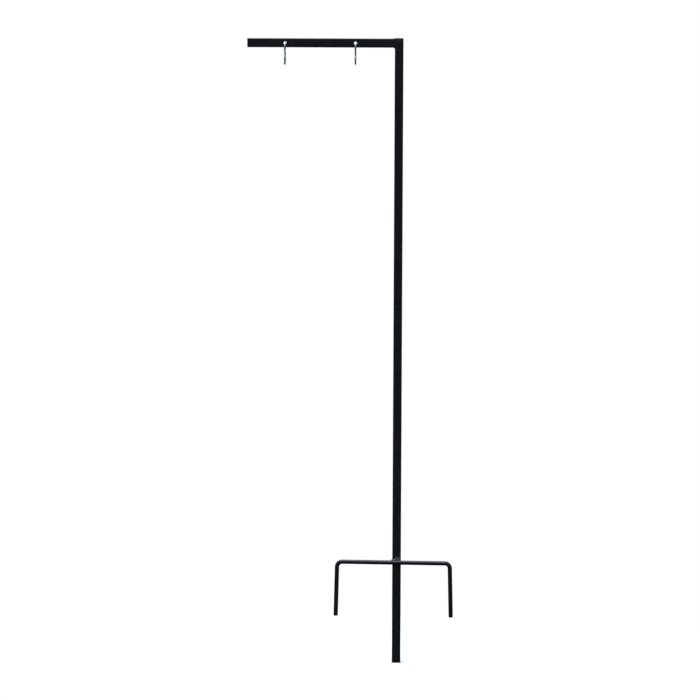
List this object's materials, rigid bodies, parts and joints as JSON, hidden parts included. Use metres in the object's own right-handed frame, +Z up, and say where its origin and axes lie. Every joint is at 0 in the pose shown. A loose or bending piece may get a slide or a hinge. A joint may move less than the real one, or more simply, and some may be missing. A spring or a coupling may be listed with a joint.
{
  "type": "bird feeder pole",
  "caption": "Tall square-tube garden pole with a welded top arm, swinging wire S-hooks that hold feeders, and a bent-bar step-in ground fork.",
  "frame": {"origin": "on the pole's axis at its cut lower end, which is pushed into the ground", "axes": "+Z up the pole; -X along the top arm; -Y towards the side that the step bar crosses"},
  "size_m": [0.6101, 0.0446, 1.83],
  "materials": {
    "black_coat": "satin black coating over welded steel",
    "coated_weld": "coated weld metal, lumpy, worn grey on its high spots",
    "black_plastic": "matte moulded plastic",
    "zinc_wire": "bright zinc plating on drawn wire"
  },
  "bodies": {
    "frame": {"pole_tube": "black_coat", "arm_tube": "black_coat", "step_bar": "black_coat", "pole_top_plug": "black_plastic", "arm_end_plug": "black_plastic", "arm_joint_front_weld": "coated_weld", "arm_joint_back_weld": "coated_weld", "arm_joint_top_weld": "coated_weld", "arm_joint_bottom_weld": "coated_weld", "step_bar_upper_weld": "coated_weld", "step_bar_lower_weld": "coated_weld"},
    "outer_hook": {"s_hook_outer": "zinc_wire"},
    "inner_hook": {"s_hook_inner": "zinc_wire"}
  },
  "joints": [
    {"name": "outer_hook_swing", "type": "hinge", "parent": "frame", "child": "outer_hook", "pos_m": [-0.3341, 0, 1.80488], "axis": [1, 0, 0], "range_deg": [-110, 55]},
    {"name": "inner_hook_swing", "type": "hinge", "parent": "frame", "child": "inner_hook", "pos_m": [-0.1277, 0, 1.80488], "axis": [1, 0, 0], "range_deg": [-110, 55]}
  ]
}
